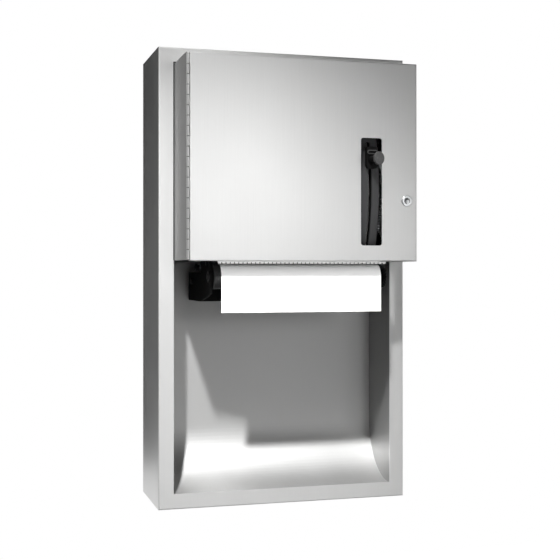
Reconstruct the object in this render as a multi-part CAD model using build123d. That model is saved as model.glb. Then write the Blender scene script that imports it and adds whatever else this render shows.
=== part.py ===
from build123d import *

import math
import os

os.makedirs("parts", exist_ok=True)

# Roll paper towel dispenser with a lever feed, in millimetres.
# X runs across, the wall is at Y = 0 with the front towards -Y, and Z = 0 is the frame's bottom
# while it is modelled. At the end every piece moves down so that the origin is the centre of the
# four wall screws, in the back panel's rear face.

# Cabinet
HEIGHT = 571.5
WIDTH = 323.85
COLLAR_DEPTH = 121.0
FLANGE = 19.05
SHEET = 1.2
BEND = 1.5
RECESS_DEPTH = 75.0
WELD_FLANGE = 12.0

# Door, measured from the frame
DOOR_PROUD = 80.0
DOOR_HIGH = 244.5
DOOR_BELOW_TOP = 20.3
DOOR_OVERHANG = 4.4
DOOR_CLEAR = 0.6
DOOR_LIP = 7.0
PANEL_INSET = 0.6
PANEL_BELOW_OPENING = 1.0
PANEL_OFF_FLANGE = 0.3
PANEL_OFF_HINGE = 0.5

# Wall screws
WALL_HOLE_R = 3.25
BOLT_X = 203.2
BOLT_Z = 152.4
BOLTS_ABOVE_DOOR_BOTTOM = 113.3

# Continuous hinge
KNUCKLE_R = 1.9
PIN_R = 0.9
KNUCKLE_PITCH = 12.07
KNUCKLE_GAP = 0.9
DOOR_TO_KNUCKLE = 0.15
LEAF = 0.9
LEAF_WIDE = 20.0
LEAF_CLEAR = 0.2
ROOT_IN = 0.3

# Cam lock
BEZEL_R = 6.9
BARREL_R = 5.9
PLUG_R = 3.7
BARREL_LONG = 25.2
BEZEL_PROUD = 2.2
BEZEL_ROUND = 1.1
PLUG_SUNK = 1.4
PLUG_MOUTH = 0.4
PLUG_BEVEL = 0.6
KEYWAY_HALF = 0.6
KEYWAY_DEEP = 6.0
NUT_THICK = 4.0
NUT_OVER = 1.6
CAM_THICK = 2.0
CAM_REACH = 15.0
CAM_HALF = 5.5
CAM_CORNER = 3.0
CAM_SCREW_HEAD = 2.4
LOCK_IN = 13.6
LOCK_UP = 74.7

# Towel and its roll
TOWEL_WIDE = 203.0
TOWEL_MID = 3.9
TOWEL_THICK = 0.3
ROLL_R = 80.0
CORE_R = 20.5
CORE_BORE = 19.0
ROLL_UP = 159.3
ROLL_OFF_WALL = 5.0
TAIL_DOWN = 61.7

# Feed train: teeth of the lever's sector, the idler's two gears and the feed gear
MODULE = 1.25
SECTOR_TEETH = 136
SMALL_TEETH = 22
LARGE_TEETH = 46
FEED_TEETH = 20
MESH_GAP = 0.15
TRAIN_SLOPE = math.radians(46.74)
GEAR_THICK = 3.5
TRAVEL = 38.0

# Rollers, shafts and the plates that carry them
ROLLER_R = 15.0
PINCH_R = 7.5
SHAFT_R = 4.0
PINCH_SHAFT_R = 3.0
STUD_R = 5.0
WEB_GAP = 0.1
RUN = 0.05
PLATE = 3.0
LEFT_CLEAR = 8.4
RIGHT_CLEAR = 0.8
END_CLEAR = 0.6
BOSS_PROUD = 0.6
BOSS_WALL = 3.0
FEED_IN = 30.0
FEED_DOWN = 18.7
CLIP = 1.0
CLIP_OVER = 3.0
TIE_R = 4.5
TIE_SCREW_R = 2.5

# Lever and its guide
HUB_R = 12.0
ARM_CLEAR = 6.9
ARM_HALF = 8.0
TONGUE = 2.0
TONGUE_UP = 6.0
TONGUE_DOWN = 8.0
TONGUE_SUNK = 0.4
HEAD_PROUD = 1.0
HEAD_IN = 4.4
KNOB_HALF = (6.7, 8.1)
STEM_R = 2.5
NECK_R = 4.2
KNOB_LONG = 4.0
KNOB_BEVEL = 0.8
KNOB_OUT = 25.0
KNOB_UP = 124.0
HEAD_HALF = 7.4
HEAD_DOWN = 10.4
HEAD_UP = 16.3
HEAD_TOP_R = 2.0
HEAD_FOOT_R = 4.5
RIM_UP = 9.7
RIM_LONG = 13.4
RIM_HIGH = 5.4
RIM_WALL = 1.3
RIM_PROUD = 1.0
STOP_R = 3.0
STOP_REACH = 50.0
STOP_CLEAR = 0.15
STOP_BACK = math.radians(4.7)
GUIDE_IN = 6.5
GUIDE_R = 210.0
GUIDE_SHEET = 1.5
GUIDE_WIDE = 27.0
GUIDE_UP = (13.3, 157.3)
GUIDE_MID_UP = 89.3
SLOT_WIDE = 27.3
SLOT_LEFT_BY = 0.75
SLOT_UP = (19.4, 151.0)
SLOT_R = 3.0
SLIT_HALF = 2.0
LIP_OFF = 0.08
LIP_DEEP = 5.0
LIP_SIDE = 1.5
LIP_GAP_HALF = 1.3
LIP_END = 2.0
SLIT_FOOT = 3.0
SLIT_TOP = 10.0
TOP_TAB = 12.0
FOOT_TAB = 8.0
BRACKET_SHEET = 1.5
BRACKET_IN = 31.0
TONGUE_IN = 23.0

# Places that follow from the sizes
open_x = WIDTH / 2 - FLANGE
open_top = HEIGHT - FLANGE
flange_y = -COLLAR_DEPTH
recess_y = RECESS_DEPTH - COLLAR_DEPTH
door_y = -COLLAR_DEPTH - DOOR_PROUD
door_top = HEIGHT - DOOR_BELOW_TOP
door_bottom = door_top - DOOR_HIGH
door_right = open_x + DOOR_OVERHANG
recess_top = door_bottom - SHEET
side_x = -open_x + PANEL_INSET
latch_x = open_x - PANEL_INSET
panel_face = latch_x - SHEET
axis_x = side_x + KNUCKLE_R
axis_y = door_y + KNUCKLE_R
door_left = axis_x + KNUCKLE_R + DOOR_TO_KNUCKLE
origin_z = door_bottom + BOLTS_ABOVE_DOOR_BOTTOM

towel_x = (TOWEL_MID - TOWEL_WIDE / 2, TOWEL_MID + TOWEL_WIDE / 2)
left_x = (towel_x[0] - LEFT_CLEAR - PLATE, towel_x[0] - LEFT_CLEAR)
right_x = (towel_x[1] + RIGHT_CLEAR, towel_x[1] + RIGHT_CLEAR + PLATE)
first_x = (right_x[1] + BOSS_PROUD + 0.2, right_x[1] + BOSS_PROUD + 0.2 + GEAR_THICK)
second_x = (first_x[1] + 0.7, first_x[1] + 0.7 + GEAR_THICK)
tongue_x = (first_x[0] - TONGUE_IN, first_x[0] - TONGUE_IN + TONGUE)
knob_x = (tongue_x[0] + tongue_x[1]) / 2

sector_r = SECTOR_TEETH * MODULE / 2
small_r = SMALL_TEETH * MODULE / 2
large_r = LARGE_TEETH * MODULE / 2
feed_gear_r = FEED_TEETH * MODULE / 2
second_mesh = large_r + feed_gear_r + MESH_GAP
first_mesh = sector_r + small_r + MESH_GAP
feed = (door_y + FEED_IN, door_bottom - FEED_DOWN)
idler = (
    feed[0] + second_mesh * math.cos(TRAIN_SLOPE),
    feed[1] + second_mesh * math.sin(TRAIN_SLOPE),
)
pivot = (
    idler[0] + first_mesh * math.cos(TRAIN_SLOPE),
    idler[1] + first_mesh * math.sin(TRAIN_SLOPE),
)
nip = ROLLER_R + PINCH_R + TOWEL_THICK + 2 * WEB_GAP
pinch = (feed[0] + nip * math.sqrt(0.5), feed[1] + nip * math.sqrt(0.5))
roll = (-ROLL_R - ROLL_OFF_WALL, door_bottom + ROLL_UP)
knob_z = door_bottom + KNOB_UP
guide_front = door_y + GUIDE_IN
bow = (guide_front + GUIDE_R, door_bottom + GUIDE_MID_UP)
arm_long = GUIDE_R - GUIDE_SHEET - math.dist(bow, pivot) - ARM_CLEAR


def box(x, y, z):
    """A block between two limits on each axis."""
    middle = Pos((x[0] + x[1]) / 2, (y[0] + y[1]) / 2, (z[0] + z[1]) / 2)
    return middle * Box(abs(x[1] - x[0]), abs(y[1] - y[0]), abs(z[1] - z[0]))


def bar_x(r, start, end, at):
    """A round bar along X at a (Y, Z) place."""
    return Pos((start + end) / 2, at[0], at[1]) * Rot(0, 90, 0) * Cylinder(r, abs(end - start))


def bar_y(r, start, end, at):
    """A round bar along Y at an (X, Z) place."""
    return Pos(at[0], (start + end) / 2, at[1]) * Rot(90, 0, 0) * Cylinder(r, abs(end - start))


def plate(x, points):
    """A flat plate across X with the given (Y, Z) outline."""
    outline = Plane.YZ.offset(x[0]) * make_face(Polyline(*points, close=True))
    return extrude(outline, amount=x[1] - x[0])


def polar(centre, r, angle):
    """The (Y, Z) point at distance r from a centre, at an angle in radians."""
    return (centre[0] + r * math.cos(angle), centre[1] + r * math.sin(angle))


def arc(centre, r, start, end, count):
    """Points along an arc in (Y, Z), its angles in radians."""
    return [polar(centre, r, start + (end - start) * i / count) for i in range(count + 1)]


def tooth(centre, pitch_r, angle, lash=0.06):
    """One straight-flanked tooth in (Y, Z), from root to tip and back to the root."""
    half = MODULE * math.pi / 4 - lash
    root = pitch_r - 1.25 * MODULE
    tip = pitch_r + 0.95 * MODULE
    slope = math.tan(math.radians(20))
    points = []
    for r, side in ((root, -1), (tip, -1), (tip, 1), (root, 1)):
        points.append(polar(centre, r, angle + side * (half - (r - pitch_r) * slope) / r))
    return points


def gear(x, centre, teeth, phase):
    """A whole gear; phase is the angle of its first tooth in radians."""
    points = []
    for i in range(teeth):
        points += tooth(centre, teeth * MODULE / 2, phase + 2 * math.pi * i / teeth)
    return plate(x, points)


def joined(pieces):
    """Several solids in one node."""
    whole = pieces[0]
    for piece in pieces[1:]:
        whole += piece
    return whole


parts = {}

# Cabinet collar: four walls behind a flat front flange, bent at their front edges, open behind
shell = box((-WIDTH / 2, WIDTH / 2), (flange_y, 0), (0, HEIGHT))
shell = fillet(shell.faces().sort_by(Axis.Y)[0].edges(), BEND)
shell -= box((-WIDTH / 2 + SHEET, WIDTH / 2 - SHEET), (flange_y + SHEET, 0), (SHEET, HEIGHT - SHEET))
shell -= box((-open_x, open_x), (flange_y, flange_y + SHEET), (FLANGE, open_top))
parts["cabinet_collar"] = shell

# Back panel inside the collar's rear edge, with the four wall holes
back = box((-WIDTH / 2 + SHEET, WIDTH / 2 - SHEET), (-SHEET, 0), (SHEET, HEIGHT - SHEET))
for x in (-BOLT_X / 2, BOLT_X / 2):
    for z in (origin_z - BOLT_Z / 2, origin_z + BOLT_Z / 2):
        back -= bar_y(WALL_HOLE_R, -SHEET, 0, (x, z))
parts["back_panel"] = back

# Recess: one bent sheet is its back wall and its scoop, with a liner at each side
scoop_centre = (flange_y + SHEET, FLANGE + RECESS_DEPTH - 2 * SHEET)
scoop_r = RECESS_DEPTH - SHEET
quarter = math.radians(90)
profile = arc(scoop_centre, scoop_r, -quarter, 0, 24)
profile += [(recess_y, recess_top), (-SHEET, recess_top), (-SHEET, recess_top - SHEET)]
profile += [(recess_y + SHEET, recess_top - SHEET)]
profile += arc(scoop_centre, scoop_r + SHEET, 0, -quarter, 24)
parts["scoop_panel"] = plate((-open_x, open_x), profile)
liner_y = (flange_y + SHEET, recess_y + SHEET)
liner_z = (FLANGE - SHEET, recess_top)
parts["recess_side_left"] = box((-open_x - SHEET, -open_x), liner_y, liner_z)
parts["recess_side_right"] = box((open_x, open_x + SHEET), liner_y, liner_z)

# Fixed side panels of the upper compartment, each with a flange on the back panel.
# The left one runs out to the hinge and steps up in front of the collar's flange.
panel_z = (door_bottom + SHEET, open_top - PANEL_BELOW_OPENING)
hinge_y = axis_y + KNUCKLE_R + PANEL_OFF_HINGE
side = box((side_x, side_x + SHEET), (hinge_y, -SHEET), panel_z)
side += box((side_x, side_x + SHEET), (hinge_y, flange_y - PANEL_OFF_FLANGE), (panel_z[1], door_top))
side += box((side_x + SHEET, side_x + WELD_FLANGE), (-2 * SHEET, -SHEET), panel_z)
parts["hinge_side_panel"] = side
latch = box((panel_face, latch_x), (flange_y, -SHEET), panel_z)
latch += box((latch_x - WELD_FLANGE, panel_face), (-2 * SHEET, -SHEET), panel_z)
parts["latch_side_panel"] = latch

# Continuous hinge: knuckles of two leaves take turns along one pin
hinge_bottom = door_bottom + SHEET
knuckles = int((door_top - SHEET - hinge_bottom) / KNUCKLE_PITCH)
hinge_long = knuckles * KNUCKLE_PITCH
hinge_z = (hinge_bottom, hinge_bottom + hinge_long)
knuckle = Cylinder(KNUCKLE_R, KNUCKLE_PITCH - KNUCKLE_GAP)
knuckle -= Cylinder(PIN_R + RUN, KNUCKLE_PITCH)
fixed_x = (side_x + SHEET, side_x + SHEET + LEAF)
moving_y = (door_y + SHEET, door_y + SHEET + LEAF)
clear_of_knuckle = KNUCKLE_R + LEAF_CLEAR
fixed_leaf = box(fixed_x, (axis_y + clear_of_knuckle, axis_y + LEAF_WIDE), hinge_z)
moving_leaf = box((axis_x + clear_of_knuckle, axis_x + LEAF_WIDE), moving_y, hinge_z)
for i in range(knuckles):
    middle = hinge_bottom + KNUCKLE_PITCH * (i + 0.5)
    half_long = (KNUCKLE_PITCH - KNUCKLE_GAP) / 2
    z = (middle - half_long, middle + half_long)
    root = (KNUCKLE_R - ROOT_IN, clear_of_knuckle)
    if i % 2 == 0:
        fixed_leaf += Pos(axis_x, axis_y, middle) * knuckle
        fixed_leaf += box(fixed_x, (axis_y + root[0], axis_y + root[1]), z)
    else:
        moving_leaf += Pos(axis_x, axis_y, middle) * knuckle
        moving_leaf += box((axis_x + root[0], axis_x + root[1]), moving_y, z)
parts["hinge_leaf_fixed"] = fixed_leaf
parts["hinge_leaf_door"] = moving_leaf
parts["hinge_pin"] = Pos(axis_x, axis_y, hinge_bottom + hinge_long / 2) * Cylinder(PIN_R, hinge_long)

# Door: a pan with deep returns above and at the right, a short lip below and the lever's slot
lock = (door_right - LOCK_IN, door_bottom + LOCK_UP)
pan = box((door_left, door_right), (door_y, flange_y - DOOR_CLEAR), (door_bottom, door_top))
front = pan.faces().sort_by(Axis.Y)[0]
bent = front.edges().filter_by(Axis.X) + front.edges().filter_by(Axis.Z).sort_by(Axis.X)[-1:]
pan = fillet(bent, BEND)
pan -= box(
    (door_left, door_right - SHEET),
    (door_y + SHEET, flange_y),
    (door_bottom + SHEET, door_top - SHEET),
)
pan -= box((door_left, door_right - SHEET), (door_y + DOOR_LIP, flange_y), (door_bottom, door_bottom + SHEET))
slot_z = (door_bottom + SLOT_UP[0], door_bottom + SLOT_UP[1])
slot_mid = knob_x - SLOT_LEFT_BY
slot_x = (slot_mid - SLOT_WIDE / 2, slot_mid + SLOT_WIDE / 2)
slot = box(slot_x, (door_y - 1, door_y + SHEET + 1), slot_z)
slot = fillet(slot.edges().filter_by(Axis.Y), SLOT_R)
pan -= slot
pan -= bar_y(BARREL_R, door_y - 1, door_y + SHEET + 1, lock)
parts["door_panel"] = pan

# Tear bar: an angle on the door's lip, with teeth that point down
TEAR_OVER = (6.5, 7.6)
TOOTH_PITCH = 5.2
TOOTH_DEEP = 3.1
TOOTH_SLOPE = 0.9
BLADE_IN = 2.5
tear_x = (towel_x[0] - TEAR_OVER[0], towel_x[1] + TEAR_OVER[1])
blade_y = (door_y + DOOR_LIP, door_y + DOOR_LIP + SHEET)
teeth = [(tear_x[0], door_bottom + 2 * SHEET), (tear_x[0], door_bottom)]
for i in range(int((tear_x[1] - tear_x[0]) / TOOTH_PITCH)):
    x = tear_x[0] + i * TOOTH_PITCH
    teeth.append((x + TOOTH_SLOPE, door_bottom - TOOTH_DEEP))
    teeth.append((x + TOOTH_PITCH - TOOTH_SLOPE, door_bottom - TOOTH_DEEP))
    teeth.append((x + TOOTH_PITCH, door_bottom))
teeth += [(tear_x[1], door_bottom), (tear_x[1], door_bottom + 2 * SHEET)]
blade = extrude(Plane.XZ.offset(-blade_y[1]) * make_face(Polyline(*teeth, close=True)), amount=SHEET)
blade += box(tear_x, (door_y + BLADE_IN, blade_y[1]), (door_bottom + SHEET, door_bottom + 2 * SHEET))
parts["tear_bar"] = blade

# Cam lock: a bezelled barrel held by a nut, and the plug that turns in it with the cam.
# At rest it is unlocked, with the cam to the left; a quarter turn brings it up behind the strike.
cam_y = door_y + BARREL_LONG
lock_y = door_y - BEZEL_PROUD
bezel = bar_y(BEZEL_R, lock_y, door_y, lock)
bezel = fillet(bezel.edges().sort_by(Axis.Y)[:1], BEZEL_ROUND)
barrel = bezel + bar_y(BARREL_R, door_y, cam_y, lock)
barrel -= bar_y(PLUG_R + RUN, lock_y, cam_y, lock)
parts["lock_barrel"] = barrel - bar_y(PLUG_R + PLUG_MOUTH, lock_y, lock_y + PLUG_SUNK, lock)
nut_y = (door_y + SHEET, door_y + SHEET + NUT_THICK)
hexagon = Plane.XZ.offset(-nut_y[1]) * Pos(*lock) * RegularPolygon(BEZEL_R + NUT_OVER, 6)
nut = extrude(hexagon, amount=NUT_THICK)
parts["lock_nut"] = nut - bar_y(BARREL_R, nut_y[0], nut_y[1], lock)
plug = bar_y(PLUG_R, lock_y + PLUG_SUNK, cam_y, lock)
plug = chamfer(plug.edges().sort_by(Axis.Y)[:1], PLUG_BEVEL)
plug += bar_y(PLUG_R / 2, cam_y, cam_y + CAM_THICK, lock)
keyway = (lock[1] - PLUG_R * 0.65, lock[1] + PLUG_R * 0.65)
plug -= box((lock[0] - KEYWAY_HALF, lock[0] + KEYWAY_HALF), (lock_y, door_y + KEYWAY_DEEP), keyway)
parts["lock_plug"] = plug
cam = box(
    (lock[0] - CAM_REACH, lock[0] + BARREL_R),
    (cam_y, cam_y + CAM_THICK),
    (lock[1] - CAM_HALF, lock[1] + CAM_HALF),
)
cam = fillet(cam.edges().filter_by(Axis.Y), CAM_CORNER)
parts["lock_cam"] = cam - bar_y(PLUG_R / 2, cam_y, cam_y + CAM_THICK, lock)
cam_screw_y = (cam_y + CAM_THICK, cam_y + CAM_THICK + CAM_SCREW_HEAD)
parts["cam_screw"] = bar_y(PLUG_R - 1, cam_screw_y[0], cam_screw_y[1], lock)

# Strike: an arm on the latch panel with a tab in front of the locked cam
TAB_TO_CAM = 2.2
TAB_OVER_BARREL = 1.8
STRIKE_TOP = 42.3
STRIKE_IN = 41.0
ARM_OVER_CAM = 5.3
tab_y = (cam_y - TAB_TO_CAM - SHEET, cam_y - TAB_TO_CAM)
tab_z = (lock[1] + BARREL_R + TAB_OVER_BARREL, lock[1] + STRIKE_TOP)
strike_z = (lock[1] + CAM_REACH + ARM_OVER_CAM, tab_z[1])
strike = box((panel_face - SHEET, panel_face), (tab_y[0], flange_y + STRIKE_IN), strike_z)
strike += box((lock[0] - BARREL_R, panel_face), tab_y, tab_z)
parts["lock_strike"] = strike

# Mechanism plates: moulded, with bosses at the shafts.
# The left one carries the rollers, the right one also the idler, the lever and its stop.
BLOCK_UNDER_FEED = 31.0
BLOCK_OVER_FEED = 5.0
BLOCK_BEHIND_FLANGE = 4.0
REAR_TIE = (24.0, 25.0)
FRONT_TIE = (52.0, 43.0)
block_z = (feed[1] - BLOCK_UNDER_FEED, feed[1] + BLOCK_OVER_FEED)
tray_front = flange_y + BLOCK_BEHIND_FLANGE
ties = [(recess_y - ahead, block_z[0] + up) for ahead, up in (REAR_TIE, FRONT_TIE)]
nose = [
    (tray_front, block_z[0]),
    (feed[0] + 12, feed[1] - 24),
    (feed[0] - 3, feed[1] - 20),
    (feed[0] - 7, feed[1] + 4),
    (feed[0] - 1, feed[1] + 15),
]
left_outline = [(recess_y, block_z[0])] + nose
left_outline += [(feed[0] + 22, feed[1] + 34), (flange_y + 1, feed[1] + 34)]
left_outline += [(flange_y + 1, block_z[1]), (recess_y, block_z[1])]
left_plate = plate(left_x, left_outline)
right_outline = [(recess_y, block_z[0])] + nose
right_outline += [(feed[0] + 3, feed[1] + 57), (flange_y, feed[1] + 57)]
right_outline += [(pivot[0] - HUB_R - 3, pivot[1] + 8), (pivot[0] - 8, pivot[1] + HUB_R + 3)]
right_outline += [(pivot[0] + 8, pivot[1] + HUB_R + 3), (pivot[0] + HUB_R + 3, pivot[1] + 6)]
right_outline += [(recess_y - 4, block_z[1]), (recess_y, block_z[1])]
right_plate = plate(right_x, right_outline)
for at, r in ((feed, SHAFT_R), (pinch, PINCH_SHAFT_R)):
    left_plate += bar_x(r + BOSS_WALL, left_x[0] - BOSS_PROUD, left_x[0], at)
for at, r in ((feed, SHAFT_R), (pinch, PINCH_SHAFT_R), (idler, SHAFT_R), (pivot, STUD_R)):
    right_plate += bar_x(r + BOSS_WALL, right_x[1], right_x[1] + BOSS_PROUD, at)
bores = [(feed, SHAFT_R + RUN), (pinch, PINCH_SHAFT_R + RUN)] + [(tie, TIE_SCREW_R) for tie in ties]
for at, r in bores:
    left_plate -= bar_x(r, left_x[0] - 1, left_x[1], at)
    right_plate -= bar_x(r, right_x[0], right_x[1] + 1, at)
stop_angle = TRAIN_SLOPE + math.pi - STOP_BACK
stop = polar(pivot, STOP_REACH, stop_angle)
for at, r in ((idler, SHAFT_R), (pivot, STUD_R), (stop, STOP_R)):
    right_plate -= bar_x(r, right_x[0], right_x[1] + 1, at)
parts["mechanism_plate_left"] = left_plate
parts["mechanism_plate_right"] = right_plate

# Tray between the plates, screwed to the recess's back wall
TRAY_WALL = 2.5
TRAY_SCREW_R = 2.2
TRAY_SCREW_IN = 22.0
TRAY_SCREW_UP = 8.5
LIP_UNDER_FEED = 3.0
HEAD_OVER = 1.8
SCREW_HEAD = 2.3
between = (left_x[1], right_x[0])
tray_face = recess_y - TRAY_WALL
tray = box(between, (tray_face, recess_y), block_z)
tray += box(between, (tray_front, tray_face), (block_z[0], block_z[0] + TRAY_WALL))
tray += box(between, (tray_front, tray_front + TRAY_WALL), (block_z[0] + TRAY_WALL, feed[1] - LIP_UNDER_FEED))
tray_screws = []
for x in (between[0] + TRAY_SCREW_IN, between[1] - TRAY_SCREW_IN):
    for z in (block_z[0] + TRAY_SCREW_UP, block_z[1] - TRAY_SCREW_UP):
        tray -= bar_y(TRAY_SCREW_R, tray_face, recess_y, (x, z))
        shank = bar_y(TRAY_SCREW_R, tray_face, recess_y, (x, z))
        head = bar_y(TRAY_SCREW_R + HEAD_OVER, tray_face - SCREW_HEAD, tray_face, (x, z))
        tray_screws.append(shank + head)
parts["housing_tray"] = tray
parts["tray_screws"] = joined(tray_screws)

# Tie rods, and the screws that pass through the plates into their ends
parts["tie_rods"] = joined([bar_x(TIE_R, between[0], between[1], at) for at in ties])
tie_screws = []
for at in ties:
    for face, out in ((left_x[0], -1), (right_x[1], 1)):
        head = bar_x(TIE_SCREW_R + HEAD_OVER, face, face + SCREW_HEAD * out, at)
        tie_screws.append(head + bar_x(TIE_SCREW_R, face, face - PLATE * out, at))
parts["tie_rod_screws"] = joined(tie_screws)

# Feed roller on its shaft, with the gear and a clip at each end
roller_x = (between[0] + END_CLEAR, between[1] - END_CLEAR)
shaft_x = (left_x[0] - BOSS_PROUD - 0.2 - 2 * CLIP, first_x[1] + 1.6)
parts["feed_shaft"] = bar_x(SHAFT_R, shaft_x[0], shaft_x[1], feed)
roller = bar_x(ROLLER_R, roller_x[0], roller_x[1], feed) - bar_x(SHAFT_R, roller_x[0], roller_x[1], feed)
GROOVES = 4
GROOVE_HALF = 1.5
GROOVE_DEEP = 1.0
for i in range(GROOVES):
    x = roller_x[0] + (roller_x[1] - roller_x[0]) * (i + 1) / (GROOVES + 1)
    ring = bar_x(ROLLER_R + GROOVE_DEEP, x - GROOVE_HALF, x + GROOVE_HALF, feed)
    roller -= ring - bar_x(ROLLER_R - GROOVE_DEEP, x - GROOVE_HALF, x + GROOVE_HALF, feed)
parts["feed_roller"] = roller
left_clip_x = (shaft_x[0] + CLIP, shaft_x[0] + 2 * CLIP)
right_clip_x = (first_x[1], first_x[1] + CLIP)
feed_clips = []
for x in (left_clip_x, right_clip_x):
    feed_clips.append(bar_x(SHAFT_R + CLIP_OVER, x[0], x[1], feed) - bar_x(SHAFT_R, x[0], x[1], feed))
parts["feed_clips"] = joined(feed_clips)

# Gears: each one's phase puts a tooth in a gap of the next on the line of centres
toward = TRAIN_SLOPE + math.pi
feed_gear = gear(first_x, feed, FEED_TEETH, toward + math.pi + math.pi / FEED_TEETH)
parts["feed_gear"] = feed_gear - bar_x(SHAFT_R, first_x[0], first_x[1], feed)
cluster = gear(first_x, idler, LARGE_TEETH, toward)
cluster += gear((first_x[1], second_x[1]), idler, SMALL_TEETH, toward + math.pi + math.pi / SMALL_TEETH)
parts["idler_gear"] = cluster - bar_x(SHAFT_R + RUN, first_x[0], second_x[1], idler)
parts["idler_stud"] = bar_x(SHAFT_R, right_x[0], second_x[1] + 0.3 + 2 * CLIP, idler)
clip_x = (second_x[1] + 0.3, second_x[1] + 0.3 + CLIP)
idler_clip = bar_x(SHAFT_R + CLIP_OVER, clip_x[0], clip_x[1], idler)
parts["idler_clip"] = idler_clip - bar_x(SHAFT_R, clip_x[0], clip_x[1], idler)

# Pinch roller on its shaft
pinch_roller = bar_x(PINCH_R, roller_x[0], roller_x[1], pinch)
parts["pinch_roller"] = pinch_roller - bar_x(PINCH_SHAFT_R, roller_x[0], roller_x[1], pinch)
parts["pinch_shaft"] = bar_x(PINCH_SHAFT_R, left_x[0] - 1, right_x[1] + BOSS_PROUD, pinch)

# Lever: hub, toothed sector with a window for the stop, arm, crosspiece and tongue
KNOB_ABOVE_TIP = 3.0
rest = math.atan2(knob_z - KNOB_ABOVE_TIP - pivot[1], guide_front - pivot[0])
pitch = 2 * math.pi / SECTOR_TEETH
sector_teeth = int(math.radians(TRAVEL) / pitch) + 6
sector = []
for i in range(-2, sector_teeth - 2):
    sector += tooth(pivot, sector_r, toward - i * pitch)[::-1]
sector += [polar(pivot, sector_r - 5, toward - (sector_teeth + 2) * pitch)]
sector += [polar(pivot, HUB_R - 2, rest), polar(pivot, HUB_R - 2, toward)]
lever = plate(second_x, sector)
window_half = (STOP_R + STOP_CLEAR) / STOP_REACH
window_to = stop_angle + window_half
window_from = stop_angle - window_half - math.radians(TRAVEL)
inner_edge = STOP_REACH - STOP_R - 2
outer_edge = STOP_REACH + STOP_R + 2
window = arc(pivot, inner_edge, window_from, window_to, 10)
window += arc(pivot, outer_edge, window_to, window_from, 10)
lever -= plate(second_x, window)


def along(r, out, angle):
    """The (Y, Z) point at distance r along the arm and out to one side of it."""
    middle = polar(pivot, r, angle)
    return (middle[0] - out * math.sin(angle), middle[1] + out * math.cos(angle))


arm = [along(0, -11, rest), along(arm_long, -ARM_HALF, rest)]
arm += [along(arm_long, ARM_HALF, rest), along(0, 11, rest)]
lever += plate(second_x, arm)
lever += bar_x(HUB_R, right_x[1] + BOSS_PROUD + 0.2, second_x[1], pivot)
crosspiece = [along(arm_long - 3, -ARM_HALF, rest), along(arm_long, -ARM_HALF, rest)]
crosspiece += [along(arm_long, ARM_HALF, rest), along(arm_long - 3, ARM_HALF, rest)]
lever += plate((tongue_x[0], second_x[1]), crosspiece)
head_y = (door_y - HEAD_PROUD, door_y + HEAD_IN)
tongue = [along(arm_long - TONGUE, -ARM_HALF, rest), (head_y[1] - TONGUE_SUNK, knob_z + TONGUE_UP)]
tongue += [(head_y[1] - TONGUE_SUNK, knob_z - TONGUE_DOWN), along(arm_long - TONGUE, ARM_HALF - 2, rest)]
lever += plate(tongue_x, tongue)
lever -= bar_x(STUD_R + RUN, right_x[1], second_x[1], pivot)
parts["lever_arm"] = lever
parts["lever_stop"] = bar_x(STOP_R, right_x[0], second_x[1] + 1, stop)

# Lever's head on the tongue, and its knob
head_x = (knob_x - HEAD_HALF, knob_x + HEAD_HALF)
head = box(head_x, head_y, (knob_z - HEAD_DOWN, knob_z + HEAD_UP))
head = fillet(head.edges().filter_by(Axis.Y).sort_by(Axis.Z)[2:], HEAD_TOP_R)
head = fillet(head.edges().filter_by(Axis.Y).sort_by(Axis.Z)[:2], HEAD_FOOT_R)
rim_place = Plane.XZ.offset(-head_y[0]) * Pos(knob_x, knob_z + RIM_UP)
rim_hole = SlotOverall(RIM_LONG - 2 * RIM_WALL, RIM_HIGH - 2 * RIM_WALL)
head += extrude(rim_place * (SlotOverall(RIM_LONG, RIM_HIGH) - rim_hole), amount=RIM_PROUD)
head -= box(tongue_x, (head_y[1] - TONGUE_SUNK, head_y[1]), (knob_z - TONGUE_DOWN, knob_z + TONGUE_UP))
knob_y = (door_y - KNOB_OUT, door_y - KNOB_OUT + KNOB_LONG)
neck = Plane.XZ.offset(-head_y[0]) * Pos(knob_x, knob_z) * Circle(NECK_R + 1.2)
neck_end = Plane.XZ.offset(-knob_y[1]) * Pos(knob_x, knob_z) * Circle(NECK_R)
head += loft([neck, neck_end])
parts["lever_head"] = head - bar_y(STEM_R, knob_y[1], head_y[0] - 2, (knob_x, knob_z))
grip = extrude(Plane.XZ.offset(-knob_y[1]) * Pos(knob_x, knob_z) * Ellipse(*KNOB_HALF), amount=KNOB_LONG)
grip = chamfer(grip.edges(), KNOB_BEVEL)
parts["lever_knob"] = grip + bar_y(STEM_R, knob_y[1] - 1, head_y[0] - 2, (knob_x, knob_z))
parts["lever_stud"] = bar_x(STUD_R, right_x[0], second_x[1] + 0.3 + 2 * CLIP, pivot)
lever_clip = bar_x(STUD_R + CLIP_OVER, clip_x[0], clip_x[1], pivot)
parts["lever_clip"] = lever_clip - bar_x(STUD_R, clip_x[0], clip_x[1], pivot)

# Return spring: one tube coiled round the lever's hub, with a straight leg at each end.
# Each quarter turn of the coil is two arcs that meet smoothly.
COIL_CLEAR = 2.2
WIRE_R = 0.6
TURNS = 2
COIL_PITCH = 1.68
LEG = 9.0
coil_r = HUB_R + COIL_CLEAR
coil_x = right_x[1] + WIRE_R + 0.2


def on_coil(turn):
    """The coil's point and direction after so many turns."""
    angle = 2 * math.pi * turn - quarter
    y, z = polar(pivot, coil_r, angle)
    rise = COIL_PITCH / (2 * math.pi)
    along_it = Vector(rise, -coil_r * math.sin(angle), coil_r * math.cos(angle)).normalized()
    return Vector(coil_x + COIL_PITCH * turn, y, z), along_it


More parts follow.
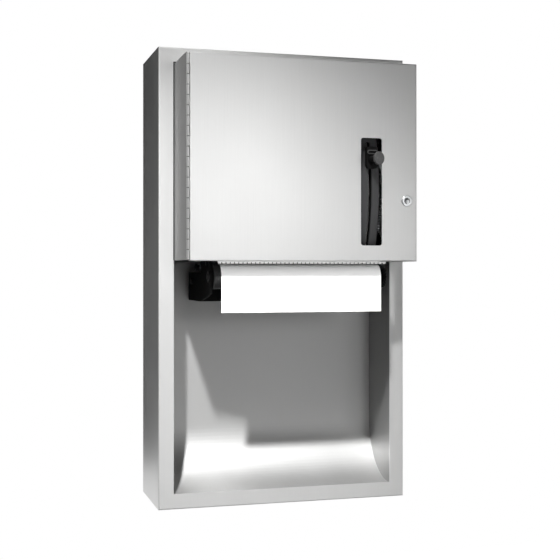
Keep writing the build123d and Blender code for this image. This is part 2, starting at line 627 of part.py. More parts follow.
arcs = []
for i in range(TURNS * 4):
    begin, out_of = on_coil(i / 4)
    end, into = on_coil((i + 1) / 4)
    span = end - begin
    both = out_of + into
    a = both.dot(both) - 4
    b = -2 * span.dot(both)
    reach = (-b - math.sqrt(b * b - 4 * a * span.dot(span))) / (2 * a)
    meet = (begin + out_of * reach + end - into * reach) * 0.5
    first = TangentArc(begin, meet, tangent=out_of)
    arcs += [first, TangentArc(meet, end, tangent=first % 1)]
start, start_way = on_coil(0)
finish, finish_way = on_coil(TURNS)
coil = Wire([Line(start - start_way * LEG, start), *arcs, Line(finish, finish + finish_way * LEG)])
parts["lever_spring"] = sweep(Plane(origin=coil @ 0, z_dir=coil % 0) * RegularPolygon(WIRE_R, 8), path=coil)
measured = [on_coil(i / 24)[0] for i in range(TURNS * 24 + 1)]
least = min((p - q).length for i, p in enumerate(measured) for q in measured[i + 12 :])
print("spring's least gap to itself", round(least - 2 * WIRE_R, 3))

# Guide shield behind the door's slot, bowed about a level axis, with its slit and end tabs
guide_x = (knob_x - GUIDE_WIDE / 2 - 1.0, knob_x + GUIDE_WIDE / 2 - 1.9)
guide_z = (door_bottom + GUIDE_UP[0], door_bottom + GUIDE_UP[1])
low = math.asin((bow[1] - guide_z[0]) / GUIDE_R)
high = math.asin((guide_z[1] - bow[1]) / GUIDE_R)
top_y = bow[0] - (GUIDE_R - GUIDE_SHEET) * math.cos(high)
bottom_y = bow[0] - (GUIDE_R - GUIDE_SHEET) * math.cos(low)
skin = arc(bow, GUIDE_R, math.pi - high, math.pi + low, 20)
skin += arc(bow, GUIDE_R - GUIDE_SHEET, math.pi + low, math.pi - high, 20)
top_tab_z = (guide_z[1] - GUIDE_SHEET, guide_z[1] + TOP_TAB)
bottom_tab_z = (guide_z[0] - FOOT_TAB, guide_z[0] + GUIDE_SHEET)
shield = plate(guide_x, skin)
shield += box(guide_x, (top_y - GUIDE_SHEET, top_y), top_tab_z)
shield += box(guide_x, (bottom_y - GUIDE_SHEET, bottom_y), bottom_tab_z)
slit_z = (guide_z[0] + SLIT_FOOT, guide_z[1] - SLIT_TOP)
shield -= box((knob_x - SLIT_HALF, knob_x + SLIT_HALF), (door_y, bottom_y), slit_z)
parts["lever_guide"] = shield

# Channel behind the slit: two black lips that the tongue runs between, joined at their ends
lip_r = (GUIDE_R - GUIDE_SHEET - LIP_OFF, GUIDE_R - GUIDE_SHEET - LIP_DEEP)
lip_low = math.asin((bow[1] - slit_z[0] + LIP_END) / GUIDE_R)
lip_high = math.asin((slit_z[1] + LIP_END - bow[1]) / GUIDE_R)
band = arc(bow, lip_r[0], math.pi - lip_high, math.pi + lip_low, 20)
band += arc(bow, lip_r[1], math.pi + lip_low, math.pi - lip_high, 20)
lip_half = SLIT_HALF + LIP_SIDE
channel = plate((knob_x - lip_half, knob_x + lip_half), band)
channel -= box((knob_x - LIP_GAP_HALF, knob_x + LIP_GAP_HALF), (door_y, bottom_y + LIP_DEEP), slit_z)
parts["guide_channel"] = channel

# Brackets of the guide: above from the latch panel, below from the right plate
bracket_z = (guide_z[1] + 0.5, top_tab_z[1])
bracket = box((guide_x[0], panel_face), (top_y, top_y + BRACKET_SHEET), bracket_z)
bracket += box((panel_face - BRACKET_SHEET, panel_face), (top_y, flange_y + BRACKET_IN), bracket_z)
parts["guide_bracket_upper"] = bracket
foot_z = (bottom_tab_z[0], guide_z[0] - 1)
parts["guide_bracket_lower"] = box((guide_x[0], right_x[0]), (bottom_y, bottom_y + BRACKET_SHEET), foot_z)

# Roll arms on the back panel, their pins, and the hubs that turn in the core's ends
ARM_SHEET = 1.5
HUB_FLANGE_R = 27.0
HUB_FLANGE = 2.0
HUB_IN = 12.0
HUB_NECK_R = 9.0
STRIP_HALF = 10.0
STRIP_AHEAD = 14.0
PIN_HEAD = 1.5
arm_z = (roll[1] - STRIP_HALF, roll[1] + STRIP_HALF)
for side_name, end, face, out in (
    ("left", towel_x[0], left_x[0] - 1.5, -1),
    ("right", towel_x[1], right_x[1] + 1.0, 1),
):
    outside = face + ARM_SHEET * out
    strip = box((face, outside), (roll[0] - STRIP_AHEAD, -SHEET), arm_z)
    strip = fillet(strip.edges().filter_by(Axis.X).sort_by(Axis.Y)[:2], STRIP_HALF - 0.1)
    strip += box((face, face - WELD_FLANGE * out), (-SHEET - ARM_SHEET, -SHEET), arm_z)
    strip -= bar_x(SHAFT_R, face, outside, roll)
    parts[f"roll_arm_{side_name}"] = strip
    pin = bar_x(SHAFT_R, end - (HUB_IN - 2) * out, outside, roll)
    parts[f"roll_pin_{side_name}"] = pin + bar_x(SHAFT_R + 2, outside, outside + PIN_HEAD * out, roll)
    hub = bar_x(CORE_BORE, end - HUB_IN * out, end, roll)
    hub += bar_x(HUB_FLANGE_R, end, end + HUB_FLANGE * out, roll)
    hub += bar_x(HUB_NECK_R, end + HUB_FLANGE * out, face - 0.2 * out, roll)
    parts[f"roll_hub_{side_name}"] = hub - bar_x(SHAFT_R + RUN, end - HUB_IN * out, face, roll)
core = bar_x(CORE_R, towel_x[0], towel_x[1], roll)
parts["roll_core"] = core - bar_x(CORE_BORE, towel_x[0], towel_x[1], roll)
paper = bar_x(ROLL_R, towel_x[0], towel_x[1], roll)
parts["paper_roll"] = paper - bar_x(CORE_R, towel_x[0], towel_x[1], roll)

# Paper web: off the roll's front, round behind the pinch roller, over the feed roller and down
half = TOWEL_THICK / 2
roll_line = ROLL_R + WEB_GAP + half
pinch_line = PINCH_R + WEB_GAP + half
feed_line = ROLLER_R + WEB_GAP + half
across = (pinch[0] - roll[0], pinch[1] - roll[1])
aim = math.atan2(across[1], across[0]) - math.acos((roll_line + pinch_line) / math.hypot(*across))
wrap_from = math.remainder(aim + math.pi, 2 * math.pi)
line = [polar(roll, roll_line, aim)]
line += arc(pinch, pinch_line, wrap_from, -1.5 * quarter, 14)
line += arc(feed, feed_line, quarter / 2, 2 * quarter, 20)[1:]
line.append((feed[0] - feed_line, door_bottom - TAIL_DOWN))
near_side = []
far_side = []
for i, (y, z) in enumerate(line):
    before = line[max(i - 1, 0)]
    after = line[min(i + 1, len(line) - 1)]
    dy = after[0] - before[0]
    dz = after[1] - before[1]
    step = math.hypot(dy, dz)
    near_side.append((y - half * dz / step, z + half * dy / step))
    far_side.append((y + half * dz / step, z - half * dy / step))
parts["paper_web"] = plate(towel_x, near_side + far_side[::-1])

for name, shape in parts.items():
    moved = Pos(0, 0, -origin_z) * shape
    moved.label = name
    export_step(moved, f"parts/{name}.step")
print(len(parts), "nodes; pivot", pivot, "idler", idler, "feed", feed, "pinch", pinch)
print("hinge", (axis_x, axis_y), "lock", lock, "roll", roll, "origin height", origin_z)
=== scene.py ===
import math

import bmesh
import bpy
from mathutils import Matrix, Vector


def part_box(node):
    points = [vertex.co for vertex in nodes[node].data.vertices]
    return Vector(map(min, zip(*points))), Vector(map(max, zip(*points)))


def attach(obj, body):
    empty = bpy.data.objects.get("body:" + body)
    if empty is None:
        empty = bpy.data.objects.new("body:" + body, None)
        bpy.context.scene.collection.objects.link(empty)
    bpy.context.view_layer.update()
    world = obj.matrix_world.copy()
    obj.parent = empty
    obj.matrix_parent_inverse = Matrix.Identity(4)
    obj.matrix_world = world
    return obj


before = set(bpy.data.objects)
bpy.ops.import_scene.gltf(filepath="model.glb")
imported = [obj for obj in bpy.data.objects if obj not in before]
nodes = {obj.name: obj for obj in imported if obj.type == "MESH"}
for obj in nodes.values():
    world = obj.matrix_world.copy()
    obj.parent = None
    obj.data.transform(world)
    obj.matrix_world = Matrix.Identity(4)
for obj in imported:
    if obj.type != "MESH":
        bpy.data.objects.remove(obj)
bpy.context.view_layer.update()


# Sheet metal: collar, back, recess, side panels, door, tear bar and hinge leaves
# 304 stainless, folded and spot welded. Its satin grain runs up and down, and follows the bend of
# the scoop. The streaks differ in gloss, and hands and cloths have left faint cloudy marks.
class Value:
    """A number or colour on one socket; the operators add Math nodes."""

    def __init__(self, shading, socket):
        self.shading = shading
        self.socket = socket

    def math(self, operation, *terms):
        return self.shading.node("Math", {"operation": operation}, dict(enumerate(terms)))

    def __add__(self, other):
        return self.math("ADD", self, other)

    def __sub__(self, other):
        return self.math("SUBTRACT", self, other)

    def __rsub__(self, other):
        return self.math("SUBTRACT", other, self)

    def __mul__(self, other):
        return self.math("MULTIPLY", self, other)

    def __abs__(self):
        return self.math("ABSOLUTE", self)

    def larger(self, other):
        return self.math("MAXIMUM", self, other)

    def above(self, start, full):
        """0 at start and 1 at full, with a smooth rise between them; full may be the smaller."""
        spread = {"Value": self, "From Min": start, "From Max": full}
        return self.shading.node("MapRange", {"interpolation_type": "SMOOTHSTEP"}, spread)

    __radd__ = __add__
    __rmul__ = __mul__


class Shading:
    """The nodes of a material or of the world."""

    def __init__(self, tree):
        self.tree = tree

    def node(self, kind, settings, sockets, output=0):
        made = self.tree.nodes.new("ShaderNode" + kind)
        for name, value in settings.items():
            setattr(made, name, value)
        for name, value in sockets.items():
            self.feed(made.inputs[name], value)
        return Value(self, made.outputs[output])

    def feed(self, socket, value):
        if isinstance(value, Value):
            self.tree.links.new(value.socket, socket)
        else:
            socket.default_value = value


class Finish(Shading):
    """One material with its Principled shader; fixed values go on the shader's own sockets."""

    def __init__(self, name, **fixed):
        self.material = bpy.data.materials.new(name)
        self.material.use_nodes = True
        super().__init__(self.material.node_tree)
        self.shader = self.tree.nodes["Principled BSDF"]
        self.set(**fixed)

    def set(self, **sockets):
        for name, value in sockets.items():
            self.feed(self.shader.inputs[name.replace("_", " ")], value)

    def place(self):
        return self.node("TexCoord", {}, {}, "Object")

    def along(self, name):
        """The place along X, Y or Z, in metres."""
        return self.node("SeparateXYZ", {}, {"Vector": self.place()}, name)

    def distance(self, point, axes):
        """How far the place is from a point, along those axes that are 1 and not 0."""
        apart = self.node("VectorMath", {"operation": "SUBTRACT"}, {0: self.place(), 1: point})
        flat = self.node("VectorMath", {"operation": "MULTIPLY"}, {0: apart, 1: axes})
        return self.node("VectorMath", {"operation": "LENGTH"}, {0: flat}, "Value")

    def axis(self, name):
        """How squarely the surface faces along X, Y or Z, from 0 to 1."""
        normal = self.node("NewGeometry", {}, {}, "Normal")
        return abs(self.node("SeparateXYZ", {}, {"Vector": normal}, name))

    def noise(self, per_metre, detail=3.0, rough=0.6):
        """Noise from 0 to 1, with this many cells per metre along X, Y and Z."""
        where = self.node("Mapping", {}, {"Vector": self.place(), "Scale": per_metre})
        fine = {"Vector": where, "Scale": 1.0, "Detail": detail, "Roughness": rough}
        return self.node("TexNoise", {}, fine)

    def shade(self, mask, first, second):
        """The first colour where the mask is 0, and the second where it is 1."""
        blend = {0: mask, 6: (*first, 1), 7: (*second, 1)}
        return self.node("Mix", {"data_type": "RGBA"}, blend, 2)

    def bump(self, height, distance, strength):
        return self.node("Bump", {}, {"Height": height, "Distance": distance, "Strength": strength})

    def on(self, *names):
        for name in names:
            nodes[name].data.materials.clear()
            nodes[name].data.materials.append(self.material)


ACROSS_GRAIN = 1100
ALONG_GRAIN = 9
UPRIGHT_GRAIN = (ACROSS_GRAIN, ACROSS_GRAIN, ALONG_GRAIN)
LEVEL_GRAIN = (ACROSS_GRAIN, ALONG_GRAIN, ALONG_GRAIN)
HAIRLINE_FINENESS = 1.9
SATIN_DARK = (0.68, 0.68, 0.675)
SATIN_LIGHT = (0.8, 0.8, 0.795)
STREAK_WEAR = 0.12
CLOUD_WEAR = 0.1
HAIRLINE_WEAR = 0.08
GRAIN_DEPTH = 0.00002


def satin_finish(name, grain, roughness, painted_shade_scale=1.0, side_shine=0.0):
    """Brushed stainless: grain on upright faces, glossier sides, and a scale below 1 for painted shade.
    """
    finish = Finish(name, Metallic=1.0)
    lying = finish.axis("Z").above(0.4, 0.6)
    upright = 1 - lying
    streaks = finish.noise(grain, rough=0.65) * upright + finish.noise(LEVEL_GRAIN, rough=0.65) * lying
    clouds = finish.noise((7, 7, 4), detail=4.0)
    fine_grain = [HAIRLINE_FINENESS * cells for cells in grain]
    hairlines = finish.noise(fine_grain, detail=1.0, rough=0.5).above(0.68, 0.8) * upright
    dark = [painted_shade_scale * part for part in SATIN_DARK]
    light = [painted_shade_scale * part for part in SATIN_LIGHT]
    finish.set(Base_Color=finish.shade(streaks * 0.55 + clouds * 0.45, dark, light))
    mean_wear = (STREAK_WEAR + CLOUD_WEAR) / 2
    wear = streaks * STREAK_WEAR + clouds * CLOUD_WEAR + hairlines * HAIRLINE_WEAR
    sides = finish.axis("X").above(0.6, 0.9)
    finish.set(Roughness=wear + (roughness - mean_wear) - sides * side_shine)
    finish.set(Normal=finish.bump(streaks - hairlines * 0.4, GRAIN_DEPTH, 0.4))
    return finish


DOOR_ROUGHNESS = 0.36
BOX_ROUGHNESS = 0.6
door_satin = satin_finish("satin_door", UPRIGHT_GRAIN, DOOR_ROUGHNESS)
door_satin.on("latch_side_panel", "back_panel", "door_panel")
door_satin.on("tear_bar", "hinge_leaf_fixed", "hinge_leaf_door")
# Painted shade: the hinge side panel's satin is darkened to 0.42 of its colour.
panel_satin = satin_finish("satin_panel", UPRIGHT_GRAIN, BOX_ROUGHNESS, painted_shade_scale=0.42)
panel_satin.on("hinge_side_panel")
collar_shine = BOX_ROUGHNESS - DOOR_ROUGHNESS
collar_satin = satin_finish("satin_collar", UPRIGHT_GRAIN, BOX_ROUGHNESS, side_shine=collar_shine)
collar_satin.on("cabinet_collar")
# Painted shade: the liners and the scoop are darker copies of the same satin, for the shaded recess.
liner_satin = satin_finish("satin_liner", UPRIGHT_GRAIN, BOX_ROUGHNESS, painted_shade_scale=0.56)
liner_satin.on("recess_side_left", "recess_side_right")
scoop_satin = satin_finish("satin_scoop", LEVEL_GRAIN, BOX_ROUGHNESS, painted_shade_scale=0.78)
scoop_satin.on("scoop_panel")

# Plated steel: strike, tie rods, roll arms and pins, spring, nut, brackets, cam and lever's arm
# Zinc plated mild steel, a little bluer than the sheet, with a fine mottled bloom.
ZINC_DARK = (0.4, 0.41, 0.43)
ZINC_LIGHT = (0.66, 0.67, 0.69)
plated = Finish("zinc_plate", Metallic=1.0)
mottle = plated.noise((220, 220, 220), detail=4.0, rough=0.65)
bloom = plated.noise((35, 35, 35)).above(0.45, 0.7)
plated.set(Base_Color=plated.shade(mottle - bloom * 0.25, ZINC_DARK, ZINC_LIGHT))
plated.set(Roughness=mottle * 0.16 + bloom * 0.12 + 0.26)
plated.set(Normal=plated.bump(mottle, 0.00004, 0.3))
plated.on("lock_strike", "tie_rods", "lever_stop", "roll_arm_left", "roll_arm_right")
plated.on("roll_pin_left", "roll_pin_right", "lever_spring", "lock_nut", "guide_bracket_upper")
plated.on("guide_bracket_lower", "lock_cam", "cam_screw", "lever_arm")

# Screws, clips, studs and roller shafts: hardened steel, coloured near black as painted shade
# The black stands in for the shade of the housing around them; small spots are worn to grey.
STEEL_SHADE_BLACK = (0.018, 0.018, 0.019)
STEEL_SHADE_WORN = (0.06, 0.058, 0.056)
shade_blackened = Finish("steel_painted_shade", Metallic=0.6, Specular_IOR_Level=0.3)
steel_grain = shade_blackened.noise((700, 700, 700))
spots = shade_blackened.noise((260, 260, 260)).above(0.58, 0.78)
shade_blackened.set(Base_Color=shade_blackened.shade(spots, STEEL_SHADE_BLACK, STEEL_SHADE_WORN))
shade_blackened.set(Roughness=steel_grain * 0.14 + 0.44 - spots * 0.1)
shade_blackened.set(Normal=shade_blackened.bump(steel_grain, 0.00003, 0.4))
shade_blackened.on("tray_screws", "tie_rod_screws", "idler_stud", "idler_clip", "lever_stud")
shade_blackened.on("lever_clip", "feed_shaft", "feed_clips", "pinch_shaft")

# Hinge pin: plain steel wire, coloured near black as painted shade
# It shows as a dark line in the slits between the knuckles.
PIN_SHADE_DARK = (0.05, 0.048, 0.045)
PIN_SHADE_LIGHT = (0.12, 0.115, 0.11)
pin_shade = Finish("pin_painted_shade", Metallic=1.0)
drawn = pin_shade.noise((900, 900, 60))
pin_shade.set(Base_Color=pin_shade.shade(drawn, PIN_SHADE_DARK, PIN_SHADE_LIGHT))
pin_shade.set(Roughness=drawn * 0.2 + 0.4)
pin_shade.on("hinge_pin")

# Moulded parts: mechanism plates, tray, the guide and its channel, roll hubs and gears
# Black acetal and ABS with the mould's fine spark texture; the guide is dark grey.
SPARK_WEAR = 0.12
FLOW_WEAR = 0.14
SPARK_DEPTH = 0.00004


def moulded_finish(name, dark, light, roughness, sheen, light_where=None):
    """Spark-eroded plastic; light_where gives the mask of its light colour, or else it mottles."""
    finish = Finish(name, Specular_IOR_Level=sheen)
    spark = finish.noise((2600, 2600, 2600), detail=2.0)
    flow = finish.noise((60, 60, 25), rough=0.5)
    mask = light_where(finish) if light_where else spark * 0.5 + flow * 0.5
    finish.set(Base_Color=finish.shade(mask, dark, light))
    mean_wear = (SPARK_WEAR + FLOW_WEAR) / 2
    finish.set(Roughness=spark * SPARK_WEAR + flow * FLOW_WEAR + (roughness - mean_wear))
    finish.set(Normal=finish.bump(spark, SPARK_DEPTH, 0.5))
    return finish


BLACK_DARK = (0.002, 0.002, 0.002)
BLACK_LIGHT = (0.006, 0.006, 0.006)
black = moulded_finish("moulded_black", BLACK_DARK, BLACK_LIGHT, roughness=0.62, sheen=0.06)
black.on("mechanism_plate_left", "mechanism_plate_right", "housing_tray", "guide_channel")
black.on("roll_hub_left", "roll_hub_right", "idler_gear", "feed_gear")
GREY_DARK = (0.022, 0.022, 0.023)
GREY_LIGHT = (0.038, 0.038, 0.039)
grey = moulded_finish("moulded_grey", GREY_DARK, GREY_LIGHT, roughness=0.5, sheen=0.3)
grey.on("lever_guide")


# Guide's foot shelf: a dark moulded strip between the guide's foot and the door's back
# It is fixed to the guide's foot and keeps light and dust off the paper below the slot.
def corners(name):
    """A piece's lowest and highest corners."""
    low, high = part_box(name)
    return Vector(low), Vector(high)


def strip(name, low, high, rounding, finish, body="cabinet"):
    """A bar between two corners with softened edges, fixed to one body."""
    shape = bmesh.new()
    bmesh.ops.create_cube(shape, size=1.0)
    bmesh.ops.scale(shape, vec=high - low, verts=shape.verts)
    bmesh.ops.translate(shape, vec=(low + high) / 2, verts=shape.verts)
    bmesh.ops.bevel(
        shape, geom=shape.edges[:], offset=rounding, segments=2, profile=0.5, affect="EDGES", material=-1
    )
    mesh = bpy.data.meshes.new(name)
    shape.to_mesh(mesh)
    shape.free()
    made = bpy.data.objects.new(name, mesh)
    bpy.context.scene.collection.objects.link(made)
    made.data.materials.append(finish.material)
    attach(made, body)


SHELF_SHEET = 0.001
SHELF_ROUNDING = 0.3 * SHELF_SHEET
SHELF_ABOVE_FOOT = 0.0022
DOOR_SHEET = 0.001
DOOR_CLEAR = 0.0015
guide_low, guide_high = corners("lever_guide")
door_low = corners("door_panel")[0]
bracket_low = corners("guide_bracket_lower")[0]
door_back = door_low.y + DOOR_SHEET
shelf_low = Vector((guide_low.x, door_back + DOOR_CLEAR, guide_low.z + SHELF_ABOVE_FOOT))
shelf_high = Vector((guide_high.x, bracket_low.y, shelf_low.z + SHELF_SHEET))
strip("guide_shelf", shelf_low, shelf_high, SHELF_ROUNDING, grey)

# Opening seal: a black strip in the shadow gap between the collar's opening and the side panel at the
# hinge
# It is painted shade, laid along the opening's upright edge, and turns in below the flange at the top.
GAP_STRIP = 0.0013
GAP_STRIP_ROUNDING = 0.2 * GAP_STRIP
GAP_STRIP_PROUD = 0.0003
CAP_LAP = 0.2 * GAP_STRIP
CAP_REACH = 4 * GAP_STRIP
FLANGE = 0.01905
GAP_SHADE_DARK = (0.006, 0.006, 0.006)
GAP_SHADE_LIGHT = (0.015, 0.015, 0.015)
gap_shade = moulded_finish("painted_gap_shade", GAP_SHADE_DARK, GAP_SHADE_LIGHT, roughness=0.85, sheen=0.05)
collar_low, collar_high = corners("cabinet_collar")
panel_low = corners("hinge_side_panel")[0]
gap_strip_front = collar_low.y - GAP_STRIP_PROUD
gap_strip_low = Vector((panel_low.x - GAP_STRIP, gap_strip_front, panel_low.z))
gap_strip_high = Vector((panel_low.x, collar_low.y + GAP_STRIP, collar_high.z - FLANGE + GAP_STRIP))
strip("gap_shade_upright", gap_strip_low, gap_strip_high, GAP_STRIP_ROUNDING, gap_shade)
cap_low = Vector((panel_low.x - CAP_LAP, gap_strip_front, collar_high.z - FLANGE))
cap_high = Vector((panel_low.x + CAP_REACH, gap_strip_high.y, gap_strip_high.z))
strip("gap_shade_cap", cap_low, cap_high, GAP_STRIP_ROUNDING, gap_shade)

# Tear bar's backing: a black strip behind the teeth, put there as painted shade
# It is fixed to the bar's back and shows black in the gaps between the teeth, where the interior is in
# shade.
BACKING = 0.0006
BACKING_ROUNDING = 0.2 * BACKING
BACKING_SHORT = 0.001
TIPS_FREE = 0.0004
bar_low, bar_high = corners("tear_bar")
backing_low = Vector((bar_low.x + BACKING_SHORT, bar_high.y, bar_low.z + TIPS_FREE))
backing_high = Vector((bar_high.x - BACKING_SHORT, bar_high.y + BACKING, bar_high.z - TIPS_FREE))
strip("tear_bar_shade_strip", backing_low, backing_high, BACKING_ROUNDING, gap_shade, "door")

# Lever's head: black moulding whose raised oval rim is painted a dull grey, a painted highlight
# The rim stands proud of the head's front, above the knob's stem.
HEAD_PROUD = 0.001
RIM_PROUD = 0.001
RIM_FOOT_BELOW_TOP = 0.01
HEAD_BLACK = (0.004, 0.004, 0.004)
RIM_HIGHLIGHT_GREY = (0.07, 0.07, 0.07)
rim_front = door_low.y - HEAD_PROUD - RIM_PROUD
rim_side_start = rim_front + 0.9 * RIM_PROUD
rim_side_full = rim_front + 0.6 * RIM_PROUD
rim_foot = corners("lever_head")[1].z - RIM_FOOT_BELOW_TOP
rim_foot_full = rim_foot + 0.3 * RIM_PROUD


def rim_painted_highlight(finish):
    """The rim in front of the head, painted lighter as a highlight, a little unevenly."""
    highlight_breakup = finish.noise((500, 500, 500))
    rim = finish.along("Y").above(rim_side_start, rim_side_full)
    rim = rim * finish.along("Z").above(rim_foot, rim_foot_full)
    return rim * (highlight_breakup * 0.3 + 0.7)


head = moulded_finish("moulded_head", HEAD_BLACK, RIM_HIGHLIGHT_GREY, 0.62, 0.1, light_where=rim_painted_highlight)
head.on("lever_head")

# Knob: turned steel under a dark grey satin paint
# The paint has worn a little where fingers hold it.
PAINT = (0.04, 0.04, 0.04)
PAINT_RUBBED = (0.085, 0.085, 0.085)
knob_paint = Finish("knob_paint", Metallic=0.0)
stipple = knob_paint.noise((1800, 1800, 1800), detail=2.0)
rubbed = knob_paint.noise((140, 140, 140)).above(0.5, 0.75)
knob_paint.set(Base_Color=knob_paint.shade(rubbed, PAINT, PAINT_RUBBED))
knob_paint.set(Roughness=stipple * 0.1 + 0.34 - rubbed * 0.06)
knob_paint.set(Normal=knob_paint.bump(stipple, 0.00003, 0.4))
knob_paint.on("lever_knob")

# Rollers: ground rubber sleeves
# Black nitrile with fine grinding marks round the roller and paper dust in its grain.
NITRILE = (0.01, 0.01, 0.01)
NITRILE_DUSTY = (0.04, 0.04, 0.039)
rubber = Finish("roller_rubber")
grinding = rubber.noise((1500, 25, 25), detail=2.0)
lint = rubber.noise((400, 400, 400), detail=4.0, rough=0.7).above(0.52, 0.7)
rubber.set(Base_Color=rubber.shade(lint, NITRILE, NITRILE_DUSTY))
rubber.set(Roughness=grinding * 0.15 + lint * 0.15 + 0.6)
rubber.set(Normal=rubber.bump(grinding, 0.00006, 0.5))
rubber.on("feed_roller", "pinch_roller")

# Lock: barrel and plug
# Satin chromed zinc castings, with fine swirls from keys and cloths. A painted shadow darkens
# the plug's upper left edge, where the barrel's mouth would shade it.
BARREL_DARK = (0.84, 0.85, 0.86)
BARREL_LIGHT = (0.93, 0.94, 0.95)
PLUG_BRIGHT = (0.85, 0.86, 0.87)
PAINTED_SHADOW_DARK = (0.12, 0.12, 0.125)
PAINTED_SHADOW_EDGE = 0.0023
PAINTED_SHADOW_SOFT = 0.0004
PAINTED_SHADOW_SHIFT = 0.0011
ACROSS_FACE = (1, 0, 1)
chrome = Finish("lock_chrome", Metallic=1.0)
swirls = chrome.noise((900, 900, 900), detail=4.0, rough=0.7)
chrome.set(Base_Color=chrome.shade(swirls, BARREL_DARK, BARREL_LIGHT))
chrome.set(Roughness=swirls * 0.1 + 0.26)
chrome.on("lock_barrel")
plug_low, plug_high = corners("lock_plug")
unshaded_middle = (plug_low + plug_high) / 2 + Vector((PAINTED_SHADOW_SHIFT, 0, -PAINTED_SHADOW_SHIFT))
plug_metal = Finish("plug_chrome", Metallic=1.0)
turned = plug_metal.noise((1300, 1300, 1300))
# Painted shadow: the plug is dark beyond a circle set off towards the lower right.
from_middle = plug_metal.distance(unshaded_middle, ACROSS_FACE)
painted_shadow = from_middle.above(PAINTED_SHADOW_EDGE, PAINTED_SHADOW_EDGE + PAINTED_SHADOW_SOFT)
plug_metal.set(Base_Color=plug_metal.shade(painted_shadow - turned * 0.1, PLUG_BRIGHT, PAINTED_SHADOW_DARK))
plug_metal.set(Roughness=turned * 0.1 + 0.28)
plug_metal.on("lock_plug")

# Paper: roll, web and tail
# White crepe towel: small creases across the web's run, and the roll's ends show its turns.
SHEETS_PER_METRE = 3200
ACROSS_ROLL = (0, 1, 1)
PAPER_DARK = (0.83, 0.83, 0.825)
PAPER_LIGHT = (0.9, 0.9, 0.895)
CREPE_DEPTH = 0.00012
paper = Finish("towel_paper", Specular_IOR_Level=0.2)
crepe = paper.noise((260, 1500, 1500), rough=0.65)
pulp = paper.noise((30, 30, 30), detail=4.0)
roll_low, roll_high = corners("paper_roll")
from_axis = paper.distance((roll_low + roll_high) / 2, ACROSS_ROLL)
ring = {"W": from_axis, "Scale": SHEETS_PER_METRE / 2}
turns = paper.node("TexNoise", {"noise_dimensions": "1D"}, ring)
on_end = paper.axis("X").above(0.6, 0.9)
off_end = 1 - on_end
tone = crepe * 0.25 + pulp * 0.35 + (turns * on_end + 0.5 * off_end) * 0.4
paper.set(Base_Color=paper.shade(tone, PAPER_DARK, PAPER_LIGHT))
paper.set(Roughness=crepe * 0.06 + 0.9)
paper.set(Normal=paper.bump(crepe * off_end + turns * on_end, CREPE_DEPTH, 0.5))
paper.on("paper_roll", "paper_web")

# Roll's core: a wound tube of grey-brown cardboard
# Its fibres run round the tube, and the roll was wound on it.
BOARD_DARK = (0.3, 0.22, 0.145)
BOARD_LIGHT = (0.42, 0.32, 0.22)
board = Finish("core_board", Specular_IOR_Level=0.2)
fibre = board.noise((80, 900, 900), detail=4.0, rough=0.65)
board.set(Base_Color=board.shade(fibre, BOARD_DARK, BOARD_LIGHT))
board.set(Roughness=fibre * 0.08 + 0.85)
board.set(Normal=board.bump(fibre, 0.0001, 0.5))
board.on("roll_core")

# Camera: level, left of the unit's centre line, at the photograph's angle
# Its place is worked out from the photograph's vanishing points.
YAW = math.radians(16.1)
LENS = 70.0
SENSOR = 36.0
HORIZON_RISE = 9 / 560
CAMERA_PLACE = (-0.3900, -1.4506, -0.1251)
camera = bpy.data.objects.new("camera", bpy.data.cameras.new("camera"))
bpy.context.scene.collection.objects.link(camera)
camera.data.lens = LENS
camera.data.sensor_width = SENSOR
camera.data.shift_y = -HORIZON_RISE
camera.location = CAMERA_PLACE
camera.rotation_euler = (math.pi / 2, 0, -YAW)
bpy.context.scene.camera = camera

# Light: a small spot lamp from the upper left, five soft boxes and a wide fill
# The spot's shadows fall in the recess, and it fades towards its edge. The boxes stand ahead at
# the right, where the door and the collar show them to the camera; the fill isn't mirrored.
KEY_POWER = 540
KEY_RADIUS = 0.06
KEY_CONE = math.radians(17.5)
KEY_PLACE = Vector((-0.74, -1.55, 1.68))
KEY_AIM = Vector((-0.07, -0.15, -0.27))
BOXES_Y = -2.5
spot = bpy.data.lights.new("key_lamp", "SPOT")
spot.energy = KEY_POWER
spot.shadow_soft_size = KEY_RADIUS
spot.spot_size = KEY_CONE
spot.spot_blend = 1.0
key = bpy.data.objects.new("key_lamp", spot)
key.location = KEY_PLACE
key.rotation_euler = (KEY_AIM - KEY_PLACE).to_track_quat("-Z", "Y").to_euler()
bpy.context.scene.collection.objects.link(key)


def soft_box(name, x, z, width, height, power):
    """A rectangular lamp that faces the unit's front."""
    light = bpy.data.lights.new(name, "AREA")
    light.shape = "RECTANGLE"
    light.size = width
    light.size_y = height
    light.energy = power
    made = bpy.data.objects.new(name, light)
    made.location = (x, BOXES_Y, z)
    made.rotation_euler = (math.pi / 2, 0, 0)
    bpy.context.scene.collection.objects.link(made)
    return made


soft_box("low_box", 0.25, -1.1, 0.8, 0.45, power=5.2)
soft_box("middle_box", 0.35, 0.0, 0.5, 0.4, power=2.4)
soft_box("right_box", 1.1, 0.0, 0.5, 0.3, power=1.6)
soft_box("upper_box", 0.45, 0.28, 0.5, 0.3, power=2.1)
soft_box("corner_box", 1.1, -0.8, 0.35, 0.6, power=0.5)
fill = soft_box("fill_box", 0.3, -0.6, 1.5, 1.0, power=42)
fill.visible_glossy = False

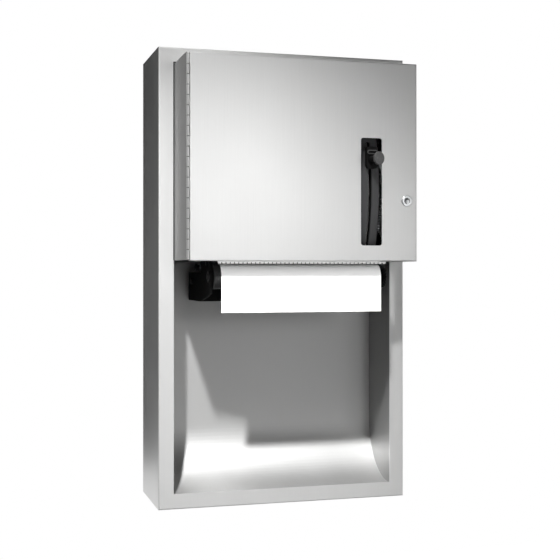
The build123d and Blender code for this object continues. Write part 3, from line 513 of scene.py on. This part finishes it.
# Studio: a white backdrop behind the unit and a dark room in front of it
# The camera, gloss and glass see the white, and the room's side walls are grey.
BACKDROP_FROM = -0.1
BACKDROP_FULL = 0.4
WALLS = 0.2
WALLS_FROM = 0.4
WALLS_FULL = 0.8
WHITE = (1, 1, 1)
BLACK = (0, 0, 0)
room = bpy.data.worlds.new("studio")
room.use_nodes = True
bpy.context.scene.world = room
studio = Shading(room.node_tree)
heading = studio.node("TexCoord", {}, {}, "Generated")
backward = studio.node("SeparateXYZ", {}, {"Vector": heading}, "Y")
sideways = abs(studio.node("SeparateXYZ", {}, {"Vector": heading}, "X"))
behind = {"Value": backward, "From Min": BACKDROP_FROM, "From Max": BACKDROP_FULL}
backdrop = studio.node("MapRange", {}, behind)
in_gloss = studio.node("LightPath", {}, {}, "Is Glossy Ray")
through_glass = studio.node("LightPath", {}, {}, "Is Transmission Ray")
to_camera = studio.node("LightPath", {}, {}, "Is Camera Ray")
white = to_camera.larger(in_gloss.larger(through_glass) * backdrop)
beside = {"Value": sideways, "From Min": WALLS_FROM, "From Max": WALLS_FULL, "To Max": WALLS}
side_walls = studio.node("MapRange", {}, beside)
background = studio.tree.nodes["Background"]
studio.feed(background.inputs["Color"], (*WHITE, 1))
room_light = studio.node("MapRange", {}, {"Value": white, "To Min": side_walls})
studio.feed(background.inputs["Strength"], room_light)


# Floor: a pale sheet below the unit, which takes its shadow
# It glows, more towards its edge and for the camera alone, so that it ends in the white backdrop.
def staged(name, half_x, half_y, place):
    """A flat piece of the studio."""
    shape = bmesh.new()
    bmesh.ops.create_grid(shape, x_segments=1, y_segments=1, size=1.0)
    bmesh.ops.scale(shape, vec=(half_x, half_y, 1), verts=shape.verts)
    bmesh.ops.transform(shape, matrix=place, verts=shape.verts)
    mesh = bpy.data.meshes.new(name)
    shape.to_mesh(mesh)
    shape.free()
    made = bpy.data.objects.new(name, mesh)
    bpy.context.scene.collection.objects.link(made)
    return made


FLOOR_Z = -0.95
FLOOR_HALF = 1.5
FADE_FROM = 0.7
FLOOR_GLOW = 0.45
FLOOR_DARK = (0.88, 0.88, 0.88)
FLOOR_LIGHT = (0.92, 0.92, 0.92)
ACROSS_FLOOR = (1, 1, 0)
floor = staged("floor", FLOOR_HALF, FLOOR_HALF, Matrix.Translation((0, 0, FLOOR_Z)))
pale = Finish("pale_floor", Roughness=0.95, Specular_IOR_Level=0.0, Emission_Strength=1.0)
speckle = pale.noise((3, 3, 3), rough=0.5)
pale.set(Base_Color=pale.shade(speckle, FLOOR_DARK, FLOOR_LIGHT))
away = pale.distance((0, 0, 0), ACROSS_FLOOR)
seen = pale.node("LightPath", {}, {}, "Is Camera Ray")
glow = away.above(FADE_FROM, FLOOR_HALF) * (1 - FLOOR_GLOW) + FLOOR_GLOW
pale.set(Emission_Color=pale.shade(glow * seen, BLACK, WHITE))
floor.data.materials.append(pale.material)

# Dark card: grey cloth that hangs behind the unit at the left, out of the camera's sight
# The unit's left side shows it at a glancing angle.
CARD_HALF = 1.1
CARD_PLACE = (-1.0, 1.2, 0.5)
CLOTH_DARK = (0.1, 0.1, 0.1)
CLOTH_LIGHT = (0.14, 0.14, 0.14)
upright = Matrix.Rotation(math.pi / 2, 4, "X")
card = staged("dark_card", CARD_HALF, CARD_HALF, Matrix.Translation(CARD_PLACE) @ upright)
cloth = Finish("grey_cloth", Roughness=0.95, Specular_IOR_Level=0.0)
weave = cloth.noise((400, 400, 400), detail=2.0, rough=0.5)
cloth.set(Base_Color=cloth.shade(weave, CLOTH_DARK, CLOTH_LIGHT))
card.data.materials.append(cloth.material)
card.visible_camera = False

bpy.context.scene.view_settings.view_transform = "Standard"
